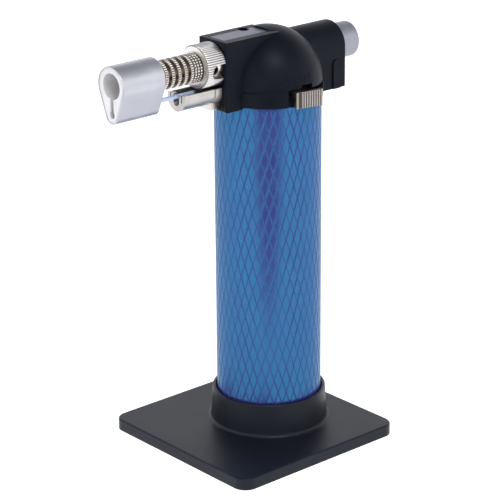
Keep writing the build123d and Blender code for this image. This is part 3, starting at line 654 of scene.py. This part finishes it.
# ---- burner --------------------------------------------------------------------------
@dataclass
class TurnedBand:
    """A closed profile of (along, radius) turned round the nozzle's axis, with teeth."""

    axis_height: float
    teeth: int
    tooth_depth: float
    flat: float = 1.0
    cells: int = 8

    def turn(self, along: np.ndarray, radius: np.ndarray, toothed: np.ndarray) -> Points:
        """Turns the profile.

        The radius at angle t is the profile's own, less tooth_depth times the part of
        the tooth's wave ((1 - cos(teeth * t)) / 2) ** flat where the profile is toothed.

        Args:
            along: Y of each row, or of each row and column.
            radius: radius of each row.
            toothed: 1 where a row is cut by the teeth, 0 where it is smooth.

        Returns:
            An array of rows by columns by three.
        """
        columns = self.teeth * self.cells
        angle = np.arange(columns) * math.tau / columns
        wave = ((1 - np.cos(self.teeth * angle)) / 2) ** self.flat
        cut = radius[:, None] - self.tooth_depth * toothed[:, None] * wave
        y = np.broadcast_to(along if along.ndim == 2 else along[:, None], cut.shape)
        x = cut * np.cos(angle)
        z = self.axis_height + cut * np.sin(angle)
        return np.stack([x, y, z], axis=2)


@dataclass
class AirCollar:
    """The straight-knurled collar that turns over the air port.

    Its rear edge is cut on both sides by a U-shaped notch, whose edge at distance s
    from the notch's middle stands length - half + sqrt(half^2 - s^2) ahead of the rear.
    """

    finish: Finish
    rear: float
    front: float
    outer: float
    bore: float
    axis_height: float
    notch_length: float = 5.4 * MM
    notch_width: float = 5.4 * MM
    notch_tilt: float = -9.5
    chamfer: float = 0.5 * MM
    teeth: int = 58
    tooth_depth: float = 0.32 * MM

    def rear_edge(self, columns: int) -> np.ndarray:
        """Y of the rear edge at each column."""
        angle = np.arange(columns) * math.tau / columns - math.radians(self.notch_tilt)
        side = (angle + math.pi / 2) % math.pi - math.pi / 2
        across = np.abs(self.outer * np.sin(side))
        half = self.notch_width / 2
        round_part = np.sqrt(np.clip(half ** 2 - across ** 2, 0, None))
        depth = np.where(across < half, self.notch_length - half + round_part, 0.0)
        return self.rear - depth

    def build(self) -> bpy.types.Object:
        """Builds the collar as one closed ring."""
        band = TurnedBand(self.axis_height, self.teeth, self.tooth_depth, flat=2.5)
        rear = self.rear_edge(band.teeth * band.cells)
        soft = self.chamfer / 3
        front = np.full_like(rear, self.front)
        along = np.stack([rear, rear, rear - soft, front + self.chamfer, front + soft,
                          front, front])
        radius = np.array([self.bore, self.outer - soft, self.outer, self.outer,
                           self.outer - 0.4 * self.chamfer, self.outer - self.chamfer,
                           self.bore])
        toothed = np.array([0, 0.4, 1, 1, 0.6, 0, 0])
        points = band.turn(along, radius, toothed)
        faces = ring_faces(*points.shape[:2])
        piece = make_piece("knurled_air_collar", points, faces, "air_collar",
                           self.finish.material(), sharp=40.0)
        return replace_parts(piece, "air_collar")


@dataclass
class FinRims:
    """Toothed rims round the burner's cooling fins and grip rings."""

    finish: Finish
    axis_height: float
    crest: float
    first_ring: float
    ring_count: int = 3
    ring_pitch: float = 1.2 * MM
    ring_thickness: float = 0.75 * MM
    fin_count: int = 5
    fin_pitch: float = 2.75 * MM
    fin_thickness: float = 1.2 * MM
    fin_teeth: int = 38
    ring_teeth: int = 30
    tooth_depth: float = 0.34 * MM

    def rim(self, name: str, rear: float, thickness: float, teeth: int,
            material: bpy.types.Material) -> bpy.types.Object:
        """One rim: a low arch over the fin, with teeth across it.

        Args:
            name: the piece's name.
            rear: Y of its rear face.
            thickness: its size along the nozzle.
            teeth: how many teeth go round it.
            material: what it is dressed in.

        Returns:
            The finished piece.
        """
        band = TurnedBand(self.axis_height, teeth, self.tooth_depth)
        proud = 0.02 * MM
        share = np.array([0, 0, 0.12, 0.35, 0.65, 0.88, 1, 1])
        lift = np.array([-0.45, -0.2, -0.06, 0, 0, -0.06, -0.2, -0.45]) * MM
        along = rear + proud - (thickness + 2 * proud) * share
        toothed = np.array([0, 0.5, 1, 1, 1, 1, 0.5, 0])
        points = band.turn(along, self.crest + lift, toothed)
        return make_piece(name, points, ring_faces(*points.shape[:2]), "torch",
                          material, sharp=50.0)

    def build(self) -> List[bpy.types.Object]:
        """Builds every rim, from the collar forwards."""
        material = self.finish.material()
        first_fin = self.first_ring - self.ring_count * self.ring_pitch
        rings = [(f"grip_ring_{n + 1}", self.first_ring - n * self.ring_pitch,
                  self.ring_thickness, self.ring_teeth) for n in range(self.ring_count)]
        fins = [(f"fin_rim_{n + 1}", first_fin - n * self.fin_pitch, self.fin_thickness,
                 self.fin_teeth) for n in range(self.fin_count)]
        return [self.rim(*sizes, material) for sizes in rings + fins]


# ---- head --------------------------------------------------------------------------------
@dataclass
class FlowMarks:
    """Raised ticks on the dome over the gas lever, longer towards more gas."""

    finish: Finish
    centre: Place
    radius: float
    count: int = 9
    first_turn: float = -23.0
    last_turn: float = 10.0
    foot: float = 3.3 * MM
    shortest: float = 0.8 * MM
    longest: float = 2.3 * MM
    half_width: float = 0.26 * MM
    proud: float = 0.2 * MM
    rows: int = 7
    columns: int = 12

    def points(self) -> Points:
        """The ticks' corners, each tick a long ellipsoid half sunk in the dome.

        A tick's centre stands on the sphere at its own turn and at the latitude whose
        sine is height / radius. From there a corner goes half_width * cos(b) * sin(a)
        sideways, proud * sin(b) * sin(a) outwards and half the tick's length times
        cos(a) uphill, with a from pole to pole and b round the tick.

        Returns:
            An array of ticks by (two poles and rows by columns) by three.
        """
        share = np.linspace(0, 1, self.count)
        length = self.shortest + (self.longest - self.shortest) * share
        turn = np.radians(self.first_turn + (self.last_turn - self.first_turn) * share)
        rise = np.arcsin((self.foot + length / 2) / self.radius)
        out = np.stack([np.cos(turn) * np.cos(rise), np.sin(turn) * np.cos(rise),
                        np.sin(rise)], axis=1)
        side = np.stack([-np.sin(turn), np.cos(turn), np.zeros(self.count)], axis=1)
        uphill = np.cross(out, side)
        a = np.linspace(0, math.pi, self.rows + 2)[1:-1, None]
        b = np.linspace(0, math.tau, self.columns + 1)[None, :-1]
        grid = (self.half_width * (np.sin(a) * np.cos(b))[None, :, :, None]
                * side[:, None, None]
                + self.proud * (np.sin(a) * np.sin(b))[None, :, :, None]
                * out[:, None, None]
                + (length / 2)[:, None, None, None]
                * np.broadcast_to(np.cos(a), (self.rows, self.columns))[None, :, :, None]
                * uphill[:, None, None])
        ends = np.stack([uphill, -uphill], axis=1) * (length / 2)[:, None, None]
        tick = np.concatenate([ends, grid.reshape(self.count, -1, 3)], axis=1)
        return np.array(self.centre) + out[:, None] * self.radius + tick

    def faces(self) -> List[List[int]]:
        """Quads between the rows and triangles at the poles, for every tick."""
        on = (np.arange(self.columns) + 1) % self.columns
        here = np.arange(self.columns)
        upper = 2 + self.columns * np.arange(self.rows - 1)[:, None]
        quads = np.stack([upper + here, upper + self.columns + here,
                          upper + self.columns + on, upper + on], axis=2).reshape(-1, 4)
        last = 2 + self.columns * (self.rows - 1)
        top = np.stack([np.zeros_like(here), 2 + here, 2 + on], axis=1)
        bottom = np.stack([np.ones_like(here), last + on, last + here], axis=1)
        size = 2 + self.rows * self.columns
        return [(face + size * tick).tolist() for tick in range(self.count)
                for face in (*quads, *top, *bottom)]

    def build(self) -> bpy.types.Object:
        """Builds all the ticks as one piece."""
        return make_piece("flow_marks", self.points(), self.faces(), "torch",
                          self.finish.material(), sharp=60.0)


# ---- CAD nodes and their finishes ------------------------------------------------------
@dataclass
class Wardrobe:
    """The finish of every CAD node that stays in view."""

    axis_height: float

    def finishes(self) -> Dict[str, Finish]:
        """The finishes by the record's slot."""
        drawn, turned, rolled = Grain.DRAWN, Grain.TURNED, Grain.ROLLED
        moulded, h = Grain.MOULDED, self.axis_height
        cool = (0.78, 0.86, 1.0)
        return {
            "stand_plastic": Finish("satin_black_stand", (0.0062, 0.0070, 0.0110),
                                    (0.0048, 0.0054, 0.0088), 0.40, 0.04, 0.0, moulded,
                                    0.22 * MM, 0.012 * MM, 14 * MM, 0.21,
                                    gloss_tint=cool),
            "housing_plastic": Finish("satin_black_housing", (0.0028, 0.0036, 0.0068),
                                      (0.0022, 0.0028, 0.0056), 0.44, 0.04, 0.0, moulded,
                                      0.18 * MM, 0.010 * MM, 8 * MM, 0.11,
                                      gloss_tint=cool),
            "aluminium": Finish("satin_aluminium", (0.47, 0.475, 0.51), (0.42, 0.425, 0.46),
                                0.40, 0.05, 0.95, drawn, 0.12 * MM, 0.004 * MM),
            "nickel": Finish("bright_nickel", (0.66, 0.62, 0.58), (0.52, 0.48, 0.44),
                             0.30, 0.06, 1.0, drawn, 0.15 * MM, 0.005 * MM),
            "ceramic": FiredCeramic("fired_ceramic", (0.56, 0.56, 0.57),
                                    (0.52, 0.52, 0.53), 0.62, 0.05, 0.0, Grain.FIRED,
                                    0.2 * MM, 0.02 * MM),
            "brass": Finish("turned_brass", (0.76, 0.55, 0.24), (0.62, 0.43, 0.17), 0.28,
                            0.05, 1.0, turned, 0.1 * MM, 0.004 * MM, axis_height=h),
            "copper": Finish("drawn_copper", (0.80, 0.42, 0.28), (0.66, 0.33, 0.22), 0.3,
                             0.05, 1.0, drawn, 0.1 * MM, 0.004 * MM),
            "label_grey": Finish("grey_label", (0.122, 0.126, 0.168), (0.102, 0.106, 0.142),
                                 0.42, 0.04, 0.55, drawn, 0.1 * MM, 0.003 * MM),
            "wire_blue": SleevedWire("pale_blue_sleeve", (0.42, 0.50, 0.70),
                                     (0.30, 0.37, 0.56), 0.38, 0.05, 0.0, drawn, 0.3 * MM,
                                     0.006 * MM),
            "steel": Finish("plated_steel", (0.56, 0.56, 0.57), (0.46, 0.46, 0.47), 0.28,
                            0.05, 1.0, rolled, 0.1 * MM, 0.004 * MM),
            "white_plastic": Finish("white_plastic", (0.74, 0.74, 0.72),
                                    (0.68, 0.68, 0.66), 0.5, 0.04, 0.0, moulded,
                                    0.2 * MM, 0.01 * MM),
            "seal_rubber": Finish("seal_rubber", (0.02, 0.02, 0.02), (0.014, 0.014, 0.014),
                                  0.75, 0.05, 0.0, moulded, 0.15 * MM, 0.02 * MM),
        }

    def special(self) -> Dict[str, Finish]:
        """Finishes of single nodes that differ from their slot's."""
        h = self.axis_height
        return {
            "burner_tube": RecessedMetal(
                "finned_nickel", (0.74, 0.69, 0.62), (0.60, 0.55, 0.48), 0.24, 0.06, 1.0,
                Grain.TURNED, 0.12 * MM, 0.005 * MM, axis_height=h),
            "wire_trough": Finish(
                "satin_nickel", (0.50, 0.475, 0.455), (0.38, 0.36, 0.34), 0.34, 0.06, 0.82,
                Grain.DRAWN, 0.15 * MM, 0.005 * MM),
            "gas_lever": RibbedMetal(
                "ribbed_nickel", (0.46, 0.425, 0.40), (0.34, 0.31, 0.29), 0.30, 0.06, 1.0,
                Grain.ROLLED, 0.12 * MM, 0.004 * MM),
            "air_collar": GroovedMetal(
                "knurled_nickel", (0.74, 0.715, 0.695), (0.62, 0.60, 0.58), 0.30, 0.06, 1.0,
                Grain.DRAWN, 0.12 * MM, 0.004 * MM, axis_height=h),
            "ignition_button": Finish(
                "turned_aluminium", (0.30, 0.315, 0.355), (0.25, 0.262, 0.30), 0.46, 0.05,
                0.9, Grain.TURNED, 0.1 * MM, 0.004 * MM, axis_height=h - BARREL_DROP),
        }

    def rims(self) -> Finish:
        """The finish of the toothed rims."""
        return GroovedMetal(
            "toothed_nickel", (0.82, 0.79, 0.75), (0.68, 0.65, 0.61), 0.28, 0.06, 1.0,
            Grain.DRAWN, 0.12 * MM, 0.004 * MM, axis_height=self.axis_height,
            face_radius=4.5 * MM, groove_radius=4.88 * MM, crest_radius=5.12 * MM)

    def dress(self) -> int:
        """Gives every CAD node its material.

        Returns:
            How many nodes were dressed.
        """
        slot_of = {part["node"]: part["material_slot"]
                   for part in frame["record"]["subparts"]}
        made = {slot: finish.material() for slot, finish in self.finishes().items()}
        alone = {node: finish.material() for node, finish in self.special().items()}
        for node, thing in frame["nodes"].items():
            material = alone.get(node) or made.get(slot_of[node])
            if material is None:
                continue
            thing.data.materials.clear()
            thing.data.materials.append(material)
        log.info("dressed %d CAD nodes in %d finishes", len(frame["nodes"]), len(made))
        return len(frame["nodes"])


# ---- studio ----------------------------------------------------------------------------
@dataclass(frozen=True)
class Softbox:
    """A square or oblong soft light that faces the torch."""

    name: str
    azimuth: float
    elevation: float
    distance: float
    width: float
    height: float
    power: float
    colour: Colour = (1.0, 1.0, 1.0)

    def place(self, target: Vector) -> bpy.types.Object:
        """Hangs the light so that it faces target, and returns it."""
        a, e = math.radians(self.azimuth), math.radians(self.elevation)
        back = Vector((math.sin(a) * math.cos(e), -math.cos(a) * math.cos(e), math.sin(e)))
        light = bpy.data.lights.new(self.name, "AREA")
        light.shape = "RECTANGLE"
        light.size, light.size_y = self.width, self.height
        light.energy, light.color = self.power, self.colour
        lamp = add_object(self.name, light)
        lamp.location = target + back * self.distance
        lamp.rotation_mode = "QUATERNION"
        lamp.rotation_quaternion = (-back).to_track_quat("-Z", "Y")
        return lamp


@dataclass
class Studio:
    """A pale cove, soft lights, and the camera."""

    camera_place: Place = (0.540432, -0.479767, 0.333983)
    camera_aim: Place = (-0.004371, -0.004924, 0.068777)
    lens: float = 153.89
    roll: float = -0.4342
    cove_radius: float = 1.7
    cove_bend: float = 0.6
    cove_height: float = 1.6
    paper_glow: float = 0.55
    flag_near: float = 0.165
    flag_far: float = 0.75
    flag_azimuth: float = 50.0
    flag_near_spread: float = 9.0
    flag_far_spread: float = 34.0
    cove_sides: int = 96
    flag_strips: int = 8

    def camera(self) -> bpy.types.Object:
        """Sets up the camera and returns it."""
        data = bpy.data.cameras.new("camera")
        data.lens, data.sensor_width = self.lens, 36.0
        data.clip_start, data.clip_end = 0.05, 20.0
        camera = add_object("camera", data)
        camera.location = self.camera_place
        ahead = Vector(self.camera_aim) - Vector(self.camera_place)
        camera.rotation_mode = "QUATERNION"
        turn = Quaternion((0, 0, 1), math.radians(self.roll))
        camera.rotation_quaternion = ahead.to_track_quat("-Z", "Y") @ turn
        bpy.context.scene.camera = camera
        return camera

    def cove(self) -> bpy.types.Object:
        """A round floor that curves up into a wall, as a profile turned about Z."""
        bend = np.linspace(0, math.pi / 2, 13)
        radius = np.concatenate([[0.001, 0.4, 0.9],
                                 self.cove_radius + self.cove_bend * np.sin(bend),
                                 [self.cove_radius + self.cove_bend]])
        height = np.concatenate([[0, 0, 0], self.cove_bend * (1 - np.cos(bend)),
                                 [self.cove_height]])
        angle = np.linspace(0, math.tau, self.cove_sides + 1)[:-1]
        points = np.stack([radius[:, None] * np.cos(angle), radius[:, None] * np.sin(angle),
                           np.broadcast_to(height[:, None], (len(radius), self.cove_sides))],
                          axis=2)
        faces = ring_faces(*points.shape[:2])[:-self.cove_sides]
        mesh = bpy.data.meshes.new("cove")
        mesh.from_pydata(points.reshape(-1, 3), [], faces)
        mesh.polygons.foreach_set("use_smooth", np.ones(len(mesh.polygons), bool))
        paper = Finish("pale_paper", (0.86, 0.86, 0.87), (0.84, 0.84, 0.85), 0.9, 0.02, 0.0,
                       Grain.MOULDED, 20 * MM, 0.0001 * MM, 400 * MM, 0.1)
        sheet = paper.material()
        shader = sheet.node_tree.nodes["Principled BSDF"]
        shader.inputs["Emission Color"].default_value = (1.0, 1.0, 1.0, 1.0)
        shader.inputs["Emission Strength"].default_value = self.paper_glow
        mesh.materials.append(sheet)
        cove = add_object("cove", mesh)
        return cove

    def flag(self) -> bpy.types.Object:
        """A black card in front of the torch, which only its gloss can see.

        It is a fan just over the floor: its corners stand flag_near and flag_far from
        the tank's axis, at the spread given for each, either side of flag_azimuth.
        """
        spread = np.array([[self.flag_near_spread], [self.flag_far_spread]])
        across = self.flag_strips + 1
        turn = np.radians(self.flag_azimuth + spread * np.linspace(-1, 1, across))
        out = np.array([[self.flag_near], [self.flag_far]])
        x, y = out * np.sin(turn), -out * np.cos(turn)
        points = np.stack([x, y, np.full_like(x, 0.5 * MM)], axis=2).reshape(-1, 3)
        near = np.arange(self.flag_strips)
        faces = np.stack([near, near + 1, near + 1 + across, near + across], axis=1)
        mesh = bpy.data.meshes.new("flag")
        mesh.from_pydata(points, [], faces)
        card = Graph("black_card")
        card.set("Base Color", (0.0, 0.0, 0.0, 1.0))
        card.set("Specular IOR Level", 0.0)
        mesh.materials.append(card.material)
        flag = add_object("flag", mesh)
        for ray in ("camera", "diffuse", "shadow", "transmission", "volume_scatter"):
            setattr(flag, f"visible_{ray}", False)
        return flag

    def lights(self) -> None:
        """Hangs the softboxes and sets the even light from above."""
        target = Vector((0, -0.01, 0.08))
        for box in (
            Softbox("left_softbox", -14.0, 30.0, 1.15, 0.8, 0.9, 2.8),
            Softbox("right_softbox", 122.0, 34.0, 1.15, 0.8, 0.9, 0.8),
            Softbox("key_softbox", 72.0, 54.0, 1.1, 0.42, 0.42, 6.2),
            Softbox("low_strip", 34.0, 5.0, 1.2, 0.5, 0.08, 1.0),
        ):
            box.place(target)
        world = bpy.data.worlds.new("studio")
        world.use_nodes = True
        background = world.node_tree.nodes["Background"]
        background.inputs["Color"].default_value = (0.80, 0.82, 0.90, 1.0)
        background.inputs["Strength"].default_value = 0.45
        bpy.context.scene.world = world

    def build(self) -> None:
        """Sets up everything round the torch."""
        self.camera()
        self.cove()
        self.flag()
        self.lights()
        bpy.context.scene.view_settings.view_transform = "Standard"
        log.info("studio set up")


# ---- springs ---------------------------------------------------------------------------
@dataclass(frozen=True)
class PressedSpring:
    """A coil spring that a joint presses towards its fixed end, made here as an unchanged copy
    of its CAD node.
    """

    node: str
    joint: str
    axis: int
    fixed_end: float
    travel: float

    @classmethod
    def all(cls) -> List["PressedSpring"]:
        """Every spring that the record declares on a joint.

        Returns:
            One spring for each deforming node.
        """
        found = []
        for joint in frame["joints"]:
            for entry in joint.get("deforming_nodes", []):
                letter = entry["mode"][-1]
                found.append(cls(entry["node"], joint["name"], "xyz".index(letter),
                                 entry[f"fixed_end_{letter}_m"], joint["range_m"][1]))
        return found

    def build(self) -> bpy.types.Object:
        """Makes the coil that stands for the CAD node, dressed as the node is.

        Returns:
            The piece, which replaces the node.
        """
        source = frame["nodes"][self.node]
        length = max(abs(corner[self.axis] - self.fixed_end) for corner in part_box(self.node))
        piece = add_object(f"{self.node}_coil", source.data.copy())
        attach(piece, source["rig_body"])
        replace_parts(piece, self.node)
        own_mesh(piece)
        return piece


# ---- the whole torch -------------------------------------------------------------------
def main() -> None:
    """Builds the studio, dresses the CAD nodes and makes the new pieces."""
    logging.basicConfig(level=logging.INFO, format="%(name)s: %(message)s")
    Studio().build()
    tank_low, tank_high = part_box("tank_shell")
    skirt_low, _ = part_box("skirt_ring")
    collar_low, collar_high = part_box("air_collar")
    nozzle_low, nozzle_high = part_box("burner_tip")
    axis_height = (nozzle_low.z + nozzle_high.z) / 2
    knurl_finish = AnodisedKnurl(
        "anodised_knurl", (0.000, 0.208, 0.278), (0.000, 0.180, 0.246), 0.25, 0.05, 1.0,
        Grain.ROLLED, 0.3 * MM, 0.006 * MM, 10 * MM, radius=tank_high.x,
        lowest=tank_low.z + PLAIN_FOOT)
    KnurledTank(knurl_finish, tank_high.x, tank_low.z, skirt_low.z, tank_high.z,
                NECK_RADIUS).build()
    wardrobe = Wardrobe(axis_height)
    wardrobe.dress()
    AirCollar(wardrobe.special()["air_collar"], collar_high.y, collar_low.y, collar_high.x,
              COLLAR_BORE, axis_height).build()
    FinRims(wardrobe.rims(), axis_height, RIM_CREST, collar_low.y - FACE_GAP).build()
    FlowMarks(wardrobe.finishes()["housing_plastic"],
              (0.0, 0.0, skirt_low.z + SKIRT_HEIGHT), tank_high.x + DOME_OVERHANG).build()
    for spring in PressedSpring.all():
        spring.build()


if __name__ == "__main__":
    main()
